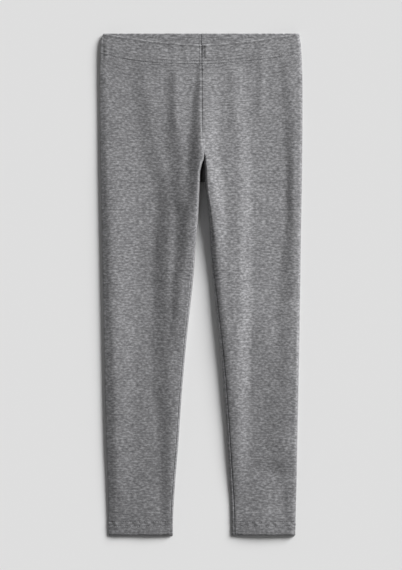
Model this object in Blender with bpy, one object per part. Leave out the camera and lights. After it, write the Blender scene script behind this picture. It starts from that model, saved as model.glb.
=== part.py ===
"""Child's jersey leggings, empty and laid flat on their back.

The waist lies towards +Y and the hems towards -Y. +Z is up, the back rests on Z = 0, and the origin is under
the middle of the garment. Left and right are the wearer's, so the right leg lies on the -X side.

Each piece starts as a skin: the outer face of the cloth, worked out ring by ring from the cut's sizes.
A Solidify modifier then gives it the wall of one or two layers of cloth, inwards. All tables are in
millimetres: "down" runs from the back waist edge to the hems, and "x" is the distance from the middle.
"""

import math
from collections import namedtuple

import bmesh
import bpy
import numpy as np

MM = 0.001

# Driving sizes, in mm.
LENGTH = 713.6  # back waist edge to hem
BAND_HEIGHT = 31.0  # waist casing, at the sides and the back
HEM_HEIGHT = 20.6
CROTCH_DOWN = 211.0  # where the two rise seams and the inseams meet
KNEE_DOWN = 440.0
SEAM_GAP = 0.3  # between two pieces at a seam
LEG_WALL = 1.4  # one layer of jersey, soft
BAND_WALL = 2.6  # two layers and the elastic between them
HEM_WALL = 2.4  # two layers

# The front waist edge hangs below the back one in a shallow curve.
FRONT_DIP = 16.5
CASING_RISE = 2.0  # the casing is this much narrower at the centre front
DIP_HALF_WIDTH = 141.0
DIP_POWER = 1.55
DIP_FADES_AT = 150.0  # how far down the rings still follow that curve

# The rolled outer and inner sides of a leg, seen in section.
FOLD_HEIGHT = 5.0  # height of a leg's widest point over the surface it lies on
FOOT_REACH = 4.5  # how far the underside starts in from the widest point
CROTCH_FOLD_HEIGHT = 2.6
CROTCH_EASE = 24.0  # below the crotch the inner side grows to its full roundness over this length
VALLEY_STARTS = 171.0  # the front seam sinks between the thighs from here to the crotch
VALLEY_SEAM_HEIGHT = 4.6
SEAM_STRIP = 4.0  # the columns next to a rise seam
PLATEAU_STARTS = 0.12  # share of the front's width, from the outer side, up to which the height is "outer"
PLATEAU_ENDS = 0.42  # and from which it is "middle"

# Faces round half of the garment, from the centre front to the centre back.
FLANK_STEPS = 4
FRONT_STEPS = 26
FOOT_STEPS = 2
BACK_STEPS = 5

LegRow = namedtuple("LegRow", "down outer_x inner_x outer middle")
SeamRow = namedtuple("SeamRow", "down front_x back_x")
FoldRow = namedtuple("FoldRow", "down x height")
Fold = namedtuple("Fold", "kind left_width right_width rows")
Leg = namedtuple("Leg", "name out outer_flank inner_flank valley_flank rows")
Section = namedtuple("Section", "name start end")
Finish = namedtuple("Finish", "name colour roughness")

# Outline and height of each leg. The inner side counts from the crotch down; above it the seam rows hold. The
# front lies at the height "outer" by the outer side and at "middle" further in, before the folds are added.
RIGHT_LEG = Leg(
    name="right",
    out=-1,
    outer_flank=14.0,
    inner_flank=5.5,
    valley_flank=5.5,
    rows=(
        LegRow(0.0, -137.75, -1.55, 13.6, 13.6),
        LegRow(5.0, -140.35, -1.55, 13.6, 13.6),
        LegRow(15.0, -142.55, -1.55, 13.6, 13.6),
        LegRow(31.0, -143.15, -1.55, 13.6, 13.6),
        LegRow(60.0, -143.95, -1.55, 13.0, 12.8),
        LegRow(105.0, -143.95, -1.55, 13.2, 12.2),
        LegRow(160.0, -143.45, -1.55, 14.0, 12.0),
        LegRow(211.0, -142.55, -1.55, 15.0, 11.9),
        LegRow(222.0, -142.35, -1.95, 15.2, 11.9),
        LegRow(265.0, -141.45, -4.15, 15.7, 11.9),
        LegRow(308.0, -140.45, -7.75, 15.8, 11.8),
        LegRow(350.0, -139.65, -11.05, 15.9, 11.8),
        LegRow(407.0, -138.55, -17.35, 15.8, 11.9),
        LegRow(464.0, -137.35, -23.25, 15.7, 12.1),
        LegRow(521.0, -136.35, -27.95, 15.6, 12.5),
        LegRow(578.0, -134.95, -31.85, 15.3, 12.7),
        LegRow(634.0, -132.75, -36.45, 14.6, 12.8),
        LegRow(691.0, -131.35, -39.75, 13.0, 12.4),
        LegRow(713.6, -131.45, -39.95, 12.6, 12.2),
    ),
)
LEFT_LEG = Leg(
    name="left",
    out=1,
    outer_flank=8.0,
    inner_flank=9.0,
    valley_flank=13.0,
    rows=(
        LegRow(0.0, 139.25, 5.75, 13.6, 13.8),
        LegRow(9.6, 141.05, 5.75, 13.6, 13.7),
        LegRow(26.6, 142.55, 5.75, 13.6, 13.6),
        LegRow(52.0, 143.75, 5.75, 13.1, 13.1),
        LegRow(95.0, 144.15, 5.75, 12.5, 12.5),
        LegRow(211.0, 143.35, 5.75, 12.3, 12.2),
        LegRow(227.0, 143.05, 7.25, 12.3, 12.2),
        LegRow(247.0, 142.65, 9.75, 12.3, 12.2),
        LegRow(272.0, 142.15, 11.65, 12.3, 12.2),
        LegRow(304.0, 141.65, 12.95, 12.3, 12.2),
        LegRow(343.0, 141.15, 16.05, 12.3, 12.2),
        LegRow(386.0, 140.55, 20.05, 12.3, 12.2),
        LegRow(428.0, 139.85, 24.65, 12.3, 12.2),
        LegRow(471.0, 138.95, 28.65, 12.3, 12.2),
        LegRow(514.0, 138.15, 32.05, 12.3, 12.2),
        LegRow(556.0, 137.25, 35.25, 12.3, 12.2),
        LegRow(599.0, 136.45, 38.05, 12.5, 12.3),
        LegRow(641.0, 135.65, 40.55, 12.4, 12.3),
        LegRow(677.0, 134.65, 42.45, 12.3, 12.2),
        LegRow(713.6, 133.95, 43.05, 12.2, 12.2),
    ),
)

# Centre front and centre back seams. The front one lies a little to the left of the middle.
RISE_SEAMS = (
    SeamRow(0.0, 0.65, -1.55),
    SeamRow(60.0, 1.15, -1.45),
    SeamRow(130.0, 2.25, -1.35),
    SeamRow(160.0, 3.45, -1.35),
    SeamRow(174.0, 4.65, -1.35),
    SeamRow(185.0, 2.05, -1.35),
    SeamRow(198.0, -0.95, -1.35),
    SeamRow(211.0, -1.35, -1.35),
)

# The largest folds of the front. A step is one slope from the lower cloth on one side of its course to the
# higher cloth on the other; a ridge has a slope on each side. The widths are those of the slopes.
STEP_UP, STEP_DOWN, RIDGE = range(3)
FOLD_FADE = 26.0  # a fold runs out over this length at each end
RIGHT_FOLDS = (
    Fold(
        STEP_UP,
        14.0,
        14.0,
        (
            FoldRow(60, -88.25, 1.4),
            FoldRow(109, -85.25, 2.1),
            FoldRow(152, -74.75, 2.0),
            FoldRow(194, -63.75, 3.0),
            FoldRow(216, -56.75, 4.2),
            FoldRow(237, -53.75, 5.8),
            FoldRow(280, -55.75, 6.6),
            FoldRow(322, -56.75, 6.6),
            FoldRow(379, -57.75, 5.7),
            FoldRow(436, -55.75, 5.4),
            FoldRow(493, -54.25, 4.6),
            FoldRow(549, -51.75, 3.4),
            FoldRow(606, -50.75, 2.9),
            FoldRow(663, -50.75, 2.0),
        ),
    ),
    Fold(
        STEP_UP,
        13.0,
        13.0,
        (
            FoldRow(60, -44.25, 1.0),
            FoldRow(109, -44.25, 1.8),
            FoldRow(152, -39.75, 3.8),
            FoldRow(194, -34.75, 5.5),
            FoldRow(216, -34.75, 6.0),
            FoldRow(258, -28.75, 5.6),
            FoldRow(301, -27.75, 5.8),
            FoldRow(350, -33.75, 4.2),
            FoldRow(407, -38.25, 3.1),
            FoldRow(436, -40.75, 1.2),
        ),
    ),
    Fold(
        STEP_UP,
        15.0,
        8.0,
        (
            FoldRow(60, -2.75, 1.6),
            FoldRow(109, -6.25, 3.8),
            FoldRow(152, -8.75, 7.3),
            FoldRow(194, -9.75, 8.0),
            FoldRow(216, -12.75, 6.8),
            FoldRow(237, -14.75, 4.5),
            FoldRow(280, -21.75, 0.8),
        ),
    ),
    Fold(
        RIDGE,
        26.0,
        28.0,
        (
            FoldRow(630, -89.75, 0.3),
            FoldRow(680, -77.75, 1.2),
            FoldRow(713, -71.75, 1.0),
        ),
    ),
    Fold(
        RIDGE,
        7.0,
        9.0,
        (
            FoldRow(60, -35.75, 0.9),
            FoldRow(95, -35.75, 1.3),
            FoldRow(128, -35.75, 1.0),
        ),
    ),
)
LEFT_FOLDS = (
    Fold(
        STEP_DOWN,
        12.0,
        12.0,
        (
            FoldRow(60, 17.25, 1.2),
            FoldRow(109, 17.25, 3.4),
            FoldRow(152, 14.25, 5.6),
            FoldRow(194, 18.75, 7.1),
            FoldRow(237, 25.25, 6.3),
            FoldRow(280, 29.25, 3.8),
            FoldRow(322, 30.25, 1.1),
        ),
    ),
    Fold(
        STEP_DOWN,
        11.0,
        11.0,
        (
            FoldRow(60, 59.75, 0.9),
            FoldRow(109, 59.75, 2.4),
            FoldRow(152, 61.75, 2.9),
            FoldRow(216, 63.75, 4.7),
            FoldRow(280, 63.75, 5.1),
            FoldRow(379, 64.25, 5.9),
            FoldRow(436, 60.75, 6.2),
            FoldRow(493, 60.25, 5.4),
            FoldRow(549, 60.25, 4.0),
            FoldRow(606, 60.75, 2.7),
            FoldRow(640, 59.25, 0.9),
        ),
    ),
    Fold(
        STEP_UP,
        12.0,
        9.0,
        (
            FoldRow(46, 116.25, 1.0),
            FoldRow(105, 124.25, 2.6),
            FoldRow(187, 125.75, 3.4),
            FoldRow(272, 125.55, 3.7),
            FoldRow(315, 122.75, 4.2),
            FoldRow(400, 120.75, 3.8),
            FoldRow(485, 116.25, 3.2),
            FoldRow(570, 113.25, 2.4),
            FoldRow(640, 118.25, 1.2),
        ),
    ),
    Fold(
        STEP_UP,
        20.0,
        20.0,
        (
            FoldRow(400, 84.25, 1.0),
            FoldRow(460, 84.25, 2.2),
            FoldRow(600, 84.25, 1.9),
        ),
    ),
    Fold(
        RIDGE,
        22.0,
        24.0,
        (
            FoldRow(640, 88.25, 1.3),
            FoldRow(680, 89.25, 1.9),
            FoldRow(713, 90.25, 0.9),
        ),
    ),
    Fold(
        RIDGE,
        6.0,
        8.0,
        (
            FoldRow(40, 85.25, 0.9),
            FoldRow(109, 85.25, 0.6),
        ),
    ),
)

# Each leg is one piece of cloth. It is held here as three shorter solids, so that each stays simple.
LEG_SECTIONS = (
    Section("hip", BAND_HEIGHT + SEAM_GAP, CROTCH_DOWN - SEAM_GAP),
    Section("thigh", CROTCH_DOWN, KNEE_DOWN),
    Section("calf", KNEE_DOWN + SEAM_GAP, LENGTH - HEM_HEIGHT - SEAM_GAP),
)
# Rings of points between a section's two ends lie closer together round the crotch.
HIP_RINGS = (44, 62, 82, 104, 128, 150, 168, 182, 194, 204)
LEG_RINGS = (*HIP_RINGS, 218, 229, 245, 266, 292, 320, *range(350, 690, 30))
END_CLEARANCE = 5.0  # no ring lies closer than this to a section's end

JERSEY = Finish("grey_melange_jersey", (0.22, 0.22, 0.227, 1.0), 0.92)
CASING = Finish("grey_melange_casing", (0.215, 0.215, 0.222, 1.0), 0.9)
HEMMED = Finish("grey_melange_hem", (0.21, 0.21, 0.217, 1.0), 0.9)


def smooth_curve(places, values):
    """A function through the given values that is smooth and never overshoots them."""
    places = np.asarray(places, float)
    values = np.asarray(values, float)
    steps = np.diff(places)
    slopes = np.diff(values) / steps
    before, after = slopes[:-1], slopes[1:]
    same_way = before * after > 0
    total = np.where(same_way, before + after, 1.0)
    inner = np.where(same_way, 2 * before * after / total, 0.0)
    tangents = np.concatenate([[slopes[0]], inner, [slopes[-1]]])

    def at(place):
        place = np.clip(place, places[0], places[-1])
        k = np.clip(np.searchsorted(places, place, side="right") - 1, 0, len(steps) - 1)
        t = (place - places[k]) / steps[k]
        start = (1 + 2 * t) * (1 - t) ** 2 * values[k] + t * (1 - t) ** 2 * steps[k] * tangents[k]
        end = t * t * (3 - 2 * t) * values[k + 1] + t * t * (t - 1) * steps[k] * tangents[k + 1]
        return start + end

    return at


def column(rows, name):
    """The smooth curve of one named column of a table, by its "down" column."""
    return smooth_curve([row.down for row in rows], [getattr(row, name) for row in rows])


def ease(value, start, end):
    """0 before start, 1 after end, and a smooth step between them."""
    t = np.clip((value - start) / (end - start), 0.0, 1.0)
    return t * t * (3 - 2 * t)


front_seam_at = column(RISE_SEAMS, "front_x")
back_seam_at = column(RISE_SEAMS, "back_x")


def fold_lift(fold, x, down):
    """How far one fold lifts the front there."""
    away = x - column(fold.rows, "x")(down)
    if fold.kind == RIDGE:
        width = np.where(away < 0, fold.left_width, fold.right_width)
        shape = np.exp(-((away / width) ** 2))
    else:
        shape = ease(away, -fold.left_width, fold.right_width)
        shape = shape if fold.kind == STEP_UP else 1 - shape
    first, last = fold.rows[0].down, fold.rows[-1].down
    length = ease(down, first - FOLD_FADE, first) * (1 - ease(down, last, last + FOLD_FADE))
    return column(fold.rows, "height")(down) * shape * length


def rounding(distance, width):
    """Rise of a rolled side, 0 at its edge and 1 from the given width inwards, on an elliptical arc."""
    share = np.clip(distance / width, 0.0, 1.0)
    return np.sqrt(1 - (1 - share) ** 2)


class Half:
    """One half of the garment: a leg, with its side of the hips and waist."""

    def __init__(self, leg, folds):
        self.leg = leg
        self.folds = folds
        self.partner = self
        self.outer_height_at = column(leg.rows, "outer")
        self.middle_height_at = column(leg.rows, "middle")
        self.outer_at = column(leg.rows, "outer_x")
        self.inner_below = column(leg.rows, "inner_x")

    def inner_at(self, down):
        """x of the front's inner edge: the centre front seam, and below the crotch the leg's inner side."""
        seam = front_seam_at(down) + self.leg.out * SEAM_GAP / 2
        return np.where(down < CROTCH_DOWN, seam, self.inner_below(down))

    def inner_width(self, down):
        """Width of the front's inner rounding, which starts as a narrow strip beside the seam."""
        strip = SEAM_STRIP + (self.leg.valley_flank - SEAM_STRIP) * ease(down, VALLEY_STARTS, CROTCH_DOWN)
        return np.where(down < CROTCH_DOWN, strip, self.leg.inner_flank)

    def seam_height(self, down):
        """Height at which the two halves meet at the centre front: midway between their own."""
        seam_x = front_seam_at(down)
        return (self.level(seam_x, down) + self.partner.level(seam_x, down)) / 2

    def inner_base(self, down):
        """Height of the inner edge: the halves meet, the seam sinks into the valley, then it is the leg's side."""
        seam = self.seam_height(down)
        seam = seam + (VALLEY_SEAM_HEIGHT - seam) * ease(down, VALLEY_STARTS, CROTCH_DOWN)
        side = CROTCH_FOLD_HEIGHT
        side = side + (FOLD_HEIGHT - side) * ease(down, CROTCH_DOWN, CROTCH_DOWN + CROTCH_EASE)
        return np.where(down < CROTCH_DOWN, seam, side)

    def level(self, x, down):
        """Height of the front with its folds, without its rolled sides."""
        outer_x = self.outer_at(down)
        share = (outer_x - x) / (outer_x - self.inner_at(down))
        outer, middle = self.outer_height_at(down), self.middle_height_at(down)
        plain = outer + (middle - outer) * ease(share, PLATEAU_STARTS, PLATEAU_ENDS)
        return plain + sum(fold_lift(fold, x, down) for fold in self.folds)

    def front_height(self, x, down):
        """Height of the front's outer face."""
        top = self.level(x, down)
        out = self.leg.out
        outer = rounding((self.outer_at(down) - x) * out, self.leg.outer_flank)
        top = FOLD_HEIGHT + (top - FOLD_HEIGHT) * outer
        inner = rounding((x - self.inner_at(down)) * out, self.inner_width(down))
        base = self.inner_base(down)
        return base + (top - base) * inner

    def inner_flank(self, share, down):
        """A point of the inner rounding: share is 0 at the edge and 1 where the front is level."""
        reach = self.inner_width(down) * (1 - math.cos(share * math.pi / 2))
        x = self.inner_at(down) + self.leg.out * reach
        return x, self.front_height(x, down)

    def front(self, share, down):
        """A point of the front between its two roundings."""
        start = self.inner_at(down) + self.leg.out * self.inner_width(down)
        end = self.outer_at(down) - self.leg.out * self.leg.outer_flank
        x = start + (end - start) * share
        return x, self.front_height(x, down)

    def outer_flank(self, share, down):
        """A point of the outer rounding: share is 0 where the front is level and 1 at the widest point."""
        reach = self.leg.outer_flank * (1 - math.cos((1 - share) * math.pi / 2))
        x = self.outer_at(down) - self.leg.out * reach
        return x, self.front_height(x, down)

    def outer_foot(self, share, down):
        """A point under the outer rounding, down to the flat back."""
        turn = share * math.pi / 2
        x = self.outer_at(down) - self.leg.out * FOOT_REACH * (1 - math.cos(turn))
        return x, np.full_like(x, FOLD_HEIGHT * (1 - math.sin(turn)))

    def foot_edge(self, down):
        """x where the flat back ends at the inner side, above and below the crotch."""
        seam = back_seam_at(down) + self.leg.out * (SEAM_GAP / 2 + FOOT_REACH)
        return np.where(down < CROTCH_DOWN, seam, self.inner_below(down) + self.leg.out * FOOT_REACH)

    def back(self, share, down):
        """A point of the flat back."""
        start = self.outer_at(down) - self.leg.out * FOOT_REACH
        x = start + (self.foot_edge(down) - start) * share
        return x, np.zeros_like(x)

    def inner_foot(self, share, down):
        """A point under the inner rounding, or of the flat back beside the centre back seam."""
        turn = (1 - share) * math.pi / 2
        edge = self.foot_edge(down) - self.leg.out * FOOT_REACH
        curled_x = edge + self.leg.out * FOOT_REACH * (1 - math.cos(turn))
        curled_z = self.inner_base(down) * (1 - math.sin(turn))
        flat_x = edge + self.leg.out * FOOT_REACH * (1 - share)
        is_leg = down >= CROTCH_DOWN
        return np.where(is_leg, curled_x, flat_x), np.where(is_leg, curled_z, 0.0)

    def columns(self):
        """The columns of points from the centre front round to the centre back: (part, share, is front)."""
        parts = (
            (self.inner_flank, FLANK_STEPS, True),
            (self.front, FRONT_STEPS, True),
            (self.outer_flank, FLANK_STEPS, True),
            (self.outer_foot, FOOT_STEPS, False),
            (self.back, BACK_STEPS, False),
            (self.inner_foot, FOOT_STEPS, False),
        )
        found = [(self.inner_flank, 0.0, True)]
        for part, steps, is_front in parts:
            found += [(part, (step + 1) / steps, is_front) for step in range(steps)]
        return found

    def skin(self, downs):
        """Rings of points, one for each down, from the centre front round to the centre back."""
        rings = np.zeros((len(downs), len(self.columns()), 3))
        for j, (part, share, is_front) in enumerate(self.columns()):
            level = np.asarray(downs, float)
            if is_front:
                x, _ = part(share, level)
                level = level + dip_at(x, level) * (1 - ease(level, BAND_HEIGHT, DIP_FADES_AT))
            x, z = part(share, level)
            rings[:, j] = np.stack([x, LENGTH / 2 - level, z], axis=1)
        return rings


def dip_at(x, down):
    """How far the front hangs below the back there: less at the casing's lower edge than at the waist."""
    dip = FRONT_DIP - CASING_RISE * ease(down, 0.0, BAND_HEIGHT)
    return dip * (1 - np.clip(np.abs(x) / DIP_HALF_WIDTH, 0.0, 1.0) ** DIP_POWER)


def mesh_of(name, rings, closed, out, finish, wall):
    """A node from rings of points in mm, joined by faces, with its wall and its finish.

    closed says for each ring whether its last point is its first one, and out is the side of X to which
    the rings set off from the centre front.
    """
    mesh = bpy.data.meshes.new(name)
    skin = bmesh.new()
    points = []
    for ring, is_closed in zip(rings, closed, strict=True):
        made = [skin.verts.new(tuple(point * MM)) for point in (ring[:-1] if is_closed else ring)]
        points.append(made + made[:1] if is_closed else made)
    for upper, lower in zip(points[:-1], points[1:], strict=True):
        for k in range(len(upper) - 1):
            face = (upper[k], upper[k + 1], lower[k + 1], lower[k])
            skin.faces.new(face if out < 0 else face[::-1])
    skin.to_mesh(mesh)
    skin.free()
    mesh.shade_smooth()
    mesh.materials.append(material_of(finish))
    node = bpy.data.objects.new(name, mesh)
    bpy.context.scene.collection.objects.link(node)
    solid = node.modifiers.new("wall", "SOLIDIFY")
    solid.thickness = wall * MM
    solid.offset = -1.0
    solid.use_even_offset = True
    solid.use_quality_normals = True
    return node


def material_of(finish):
    """A plain material in the finish's colour, made once."""
    made = bpy.data.materials.get(finish.name)
    if made is None:
        made = bpy.data.materials.new(finish.name)
        made.use_nodes = True
        surface = made.node_tree.nodes["Principled BSDF"]
        surface.inputs["Base Color"].default_value = finish.colour
        surface.inputs["Roughness"].default_value = finish.roughness
        surface.inputs["Metallic"].default_value = 0.0
    return made


def build_leg(half):
    """One leg piece in its sections: open at the rise seams above the crotch, tubes below it."""
    for section in LEG_SECTIONS:
        first, last = section.start + END_CLEARANCE, section.end - END_CLEARANCE
        between = [down for down in LEG_RINGS if first < down < last]
        downs = [section.start, *between, section.end]
        closed = [section.start >= CROTCH_DOWN] * len(downs)
        name = f"leg_{half.leg.name}_{section.name}"
        mesh_of(name, half.skin(downs), closed, half.leg.out, JERSEY, LEG_WALL)


def build_hem(half):
    """The leg's turned-up end, a ring of doubled cloth."""
    downs = [LENGTH - HEM_HEIGHT, LENGTH - HEM_HEIGHT / 2, LENGTH]
    closed = [True] * len(downs)
    return mesh_of(f"hem_{half.leg.name}", half.skin(downs), closed, half.leg.out, HEMMED, HEM_WALL)


def build_waistband(right, left):
    """The casing with its elastic, one ring round both halves."""
    downs = [0.0, BAND_HEIGHT / 3, BAND_HEIGHT * 2 / 3, BAND_HEIGHT]
    right_half, left_half = right.skin(downs), left.skin(downs)
    front_seam = (right_half[:, :1] + left_half[:, :1]) / 2
    back_seam = (right_half[:, -1:] + left_half[:, -1:]) / 2
    around = [front_seam, left_half[:, 1:-1], back_seam, right_half[:, -2:0:-1], front_seam]
    rings = np.concatenate(around, axis=1)
    return mesh_of("waistband", rings, [True] * len(downs), left.leg.out, CASING, BAND_WALL)


def clear_scene():
    """Removes the objects of the scene that Blender starts with."""
    for thing in list(bpy.data.objects):
        bpy.data.objects.remove(thing, do_unlink=True)


def main():
    clear_scene()
    right, left = Half(RIGHT_LEG, RIGHT_FOLDS), Half(LEFT_LEG, LEFT_FOLDS)
    right.partner, left.partner = left, right
    build_waistband(right, left)
    for half in (right, left):
        build_leg(half)
        build_hem(half)


main()
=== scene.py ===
"""Child's grey melange jersey leggings, empty and laid flat on their back.

The waist lies towards +Y, the hems towards -Y, and +Z is up. Left and right are the wearer's, so the right
leg lies on the -X side. Tables are in millimetres: "down" runs from the back waist edge to the hems, "x" is
the distance from the middle, and heights count from the surface that the garment lies on.

Each cloth piece is a sheet on the garment's form: its rows run across the leg, and its columns lie from the
seam on the front round the outer side and over the back to the seam again. A sheet first gets its seam lines
and the dents of its stitches, and then its wall with rolled edges. The stitches are meshes of their own.
"""

from __future__ import annotations

import logging
import math
from collections.abc import Sequence
from dataclasses import dataclass, field
from enum import Enum

import bpy
import numpy as np
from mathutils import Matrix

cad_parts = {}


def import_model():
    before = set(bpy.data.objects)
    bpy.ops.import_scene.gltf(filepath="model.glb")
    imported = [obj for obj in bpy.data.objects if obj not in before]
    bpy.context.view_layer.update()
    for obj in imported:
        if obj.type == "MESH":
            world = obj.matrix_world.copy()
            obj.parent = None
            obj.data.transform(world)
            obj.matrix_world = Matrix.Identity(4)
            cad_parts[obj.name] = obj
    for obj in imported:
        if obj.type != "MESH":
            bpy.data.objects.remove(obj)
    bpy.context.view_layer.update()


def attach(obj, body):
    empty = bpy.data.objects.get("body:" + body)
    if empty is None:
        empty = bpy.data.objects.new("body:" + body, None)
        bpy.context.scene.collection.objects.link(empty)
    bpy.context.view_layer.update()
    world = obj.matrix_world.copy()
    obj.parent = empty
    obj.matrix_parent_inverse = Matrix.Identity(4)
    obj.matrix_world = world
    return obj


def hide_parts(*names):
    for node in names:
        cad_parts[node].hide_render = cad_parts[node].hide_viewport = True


LOG = logging.getLogger("leggings")
MM = 0.001

# Driving sizes of the garment, in mm. Pieces lie SEAM_GAP apart, and a row at SUPPORT holds an edge's shape.
LENGTH = 713.6
BAND_HEIGHT = 31.0
HEM_HEIGHT = 20.6
CROTCH_DOWN = 211.0
SEAM_GAP = 0.04
LEG_WALL = 0.8
BAND_WALL = 2.3
HEM_WALL = 1.4
INNER_FOLD = 1.2
NEEDLE_GAP = 4.4
NEEDLE_INSET = 0.8
HEM_NEEDLE_GAP = 6.2
SUPPORT = 0.08

# Keeps a length that is divided by above zero.
TINY = 1e-9


class Side(Enum):
    """A half of the garment, by the wearer's sides. The value is the way to its outer side along X."""

    RIGHT = -1
    LEFT = 1

    @property
    def word(self) -> str:
        """The side's name in lower case, as the pieces are called."""
        return self.name.lower()


class CreaseKind(Enum):
    """What a crease does to the cloth."""

    TROUGH = -1
    RIDGE = 1
    STEP_UP = 2
    STEP_DOWN = 3


TROUGH, RIDGE, STEP_UP, STEP_DOWN = CreaseKind


def ease(value: np.ndarray | float, start: np.ndarray | float, end: np.ndarray | float) -> np.ndarray:
    """A smooth step.

    Args:
        value: where to read the step.
        start: the step is 0 up to here.
        end: the step is 1 from here on.

    Returns:
        The step's value, from 0 to 1.
    """
    share = np.clip((value - start) / (end - start), 0.0, 1.0)
    return share * share * (3 - 2 * share)


def hump(away: np.ndarray, width: np.ndarray | float) -> np.ndarray:
    """A soft hump: 1 at the middle and near 0 at twice the width.

    Args:
        away: distance from the hump's middle.
        width: the hump's half width.

    Returns:
        The hump's height.
    """
    return np.exp(-((away / width) ** 2))


@dataclass
class SmoothCurve:
    """A smooth curve through given values, which never overshoots them."""

    places: Sequence[float]
    values: Sequence[float]

    def __post_init__(self) -> None:
        """Works out the curve's tangents."""
        self.places = np.asarray(self.places, float)
        self.values = np.asarray(self.values, float)
        self.steps = np.diff(self.places)
        slopes = np.diff(self.values) / self.steps
        before, after = slopes[:-1], slopes[1:]
        same_way = before * after > 0
        total = np.where(same_way, before + after, 1.0)
        inner = np.where(same_way, 2 * before * after / total, 0.0)
        self.tangents = np.concatenate([slopes[:1], inner, slopes[-1:]])

    def __call__(self, place: np.ndarray | float) -> np.ndarray:
        """The curve's value.

        Args:
            place: where to read it. Beyond the ends the end values hold.

        Returns:
            The value at each place.
        """
        place = np.clip(place, self.places[0], self.places[-1])
        last = len(self.steps) - 1
        k = np.clip(np.searchsorted(self.places, place, side="right") - 1, 0, last)
        step = self.steps[k]
        t = (place - self.places[k]) / step
        start = (1 + 2 * t) * (1 - t) ** 2 * self.values[k] + t * (1 - t) ** 2 * step * self.tangents[k]
        end = t * t * (3 - 2 * t) * self.values[k + 1] + t * t * (t - 1) * step * self.tangents[k + 1]
        return start + end


def column_curve(rows: Sequence[object], name: str) -> SmoothCurve:
    """The smooth curve of one named column of a table, by its "down" column.

    Args:
        rows: the table.
        name: the column.

    Returns:
        The column as a curve by down.
    """
    return SmoothCurve([row.down for row in rows], [getattr(row, name) for row in rows])


@dataclass(frozen=True)
class OutlineRow:
    """The leg's outline at one distance down."""

    down: float
    outer_x: float
    inner_x: float


@dataclass(frozen=True)
class SectionRow:
    """The leg's section at one distance down.

    The outer side is widest at the height "fold", its upper face is "roll" wide, and the cloth then lies at
    the heights "outer" and "middle". The inner side's face is "inner_roll" wide, and the inseam lies
    "seam_inset" in from the edge. Beside the crotch the cloth first stays down in the valley over the width
    "shelf". Below the crotch the inner side is widest at the height "inner_fold".
    """

    down: float
    fold: float
    roll: float
    outer: float
    middle: float
    inner_roll: float
    seam_inset: float
    shelf: float = 0.0
    inner_fold: float = INNER_FOLD


@dataclass(frozen=True)
class EdgeRound:
    """How a folded side rises: a small round takes its share, then a face eases off from "bend" on."""

    width: float
    share: float
    bend: float = 0.5


@dataclass(frozen=True)
class SeamRow:
    """Where the centre front and centre back seams lie at one distance down."""

    down: float
    front_x: float
    back_x: float


def table(row: type, *rows: tuple[float, ...]) -> tuple:
    """A table with named columns.

    Args:
        row: the rows' class, whose fields are the columns.
        rows: the values of each row.

    Returns:
        The table's rows.
    """
    return tuple(row(*values) for values in rows)


@dataclass(frozen=True)
class CreasePoint:
    """A point on a crease's course: the crease's height there, and its widths on the -X and the +X side."""

    down: float
    x: float
    height: float
    left: float
    right: float


@dataclass(frozen=True)
class Crease:
    """A soft crease that runs down the cloth.

    A ridge or trough has a slope on each side of its course. A step is one slope, from the lower cloth on one
    side of its course to the higher cloth on the other.
    """

    kind: CreaseKind
    course: tuple[CreasePoint, ...]
    fade: float

    def lift(self, x: np.ndarray, down: np.ndarray) -> np.ndarray:
        """How far the crease lifts the cloth.

        Args:
            x: places across.
            down: places down.

        Returns:
            The lift in mm.
        """
        first, last = self.course[0].down, self.course[-1].down
        ends = ease(down, first - self.fade, first) * (1 - ease(down, last, last + self.fade))
        names = ("x", "height", "left", "right")
        course_x, height, left, right = (column_curve(self.course, name)(down) for name in names)
        away = x - course_x
        if self.kind is CreaseKind.STEP_UP:
            shape = ease(away, -left, right)
        elif self.kind is CreaseKind.STEP_DOWN:
            shape = 1 - ease(away, -left, right)
        else:
            shape = self.kind.value * hump(away, np.where(away < 0, left, right))
        return height * ends * shape


def crease(kind: CreaseKind, *points: tuple[float, float, float, float, float], fade: float = 26.0) -> Crease:
    """A crease from the points of its course.

    Args:
        kind: what it does to the cloth.
        points: down, x, height, left and right width of each point.
        fade: length over which it fades out beyond its first and last point.

    Returns:
        The crease.
    """
    return Crease(kind, table(CreasePoint, *points), fade)


@dataclass
class RiseSeams:
    """The centre front and centre back seams, and the waist's front edge, which hangs below the back one."""

    rows: tuple[SeamRow, ...] = table(
        SeamRow,
        (0.0, 0.65, -1.55),
        (60.0, 1.15, -1.45),
        (130.0, 1.55, -1.35),
        (150.0, 2.05, -1.35),
        (162.0, 3.05, -1.35),
        (174.0, 4.65, -1.35),
        (178.0, 4.25, -1.35),
        (185.0, 2.05, -1.35),
        (192.0, 0.25, -1.35),
        (198.0, -0.95, -1.35),
        (211.0, -1.35, -1.35),
    )
    valley_starts: float = 171.0
    valley_ends: float = 188.0
    valley_height: float = 2.0
    front_dip: float = 16.5
    dip_half_width: float = 141.0
    dip_power: float = 1.55
    dip_fades_at: float = 150.0
    right_sag: float = 1.0
    casing_rise: float = 2.0

    def __post_init__(self) -> None:
        """Reads the table's columns as curves."""
        self.front_at = column_curve(self.rows, "front_x")
        self.back_at = column_curve(self.rows, "back_x")

    def dip(self, x: np.ndarray, down: np.ndarray) -> np.ndarray:
        """How far the front hangs below the back: under the casing less far, but over more of the right half.

        Args:
            x: places across.
            down: places down along the back.

        Returns:
            The dip in mm.
        """
        share = np.clip(np.abs(x) / self.dip_half_width, 0.0, 1.0)
        under = ease(down, 0.0, BAND_HEIGHT)
        power = self.dip_power + self.right_sag * under * (x < 0)
        return (self.front_dip - self.casing_rise * under) * (1 - share**power)

    def sinking(self, down: np.ndarray) -> np.ndarray:
        """How far the front seam has sunk between the thighs, from 0 to 1 at the crotch."""
        return ease(down, self.valley_starts, self.valley_ends)


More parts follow.
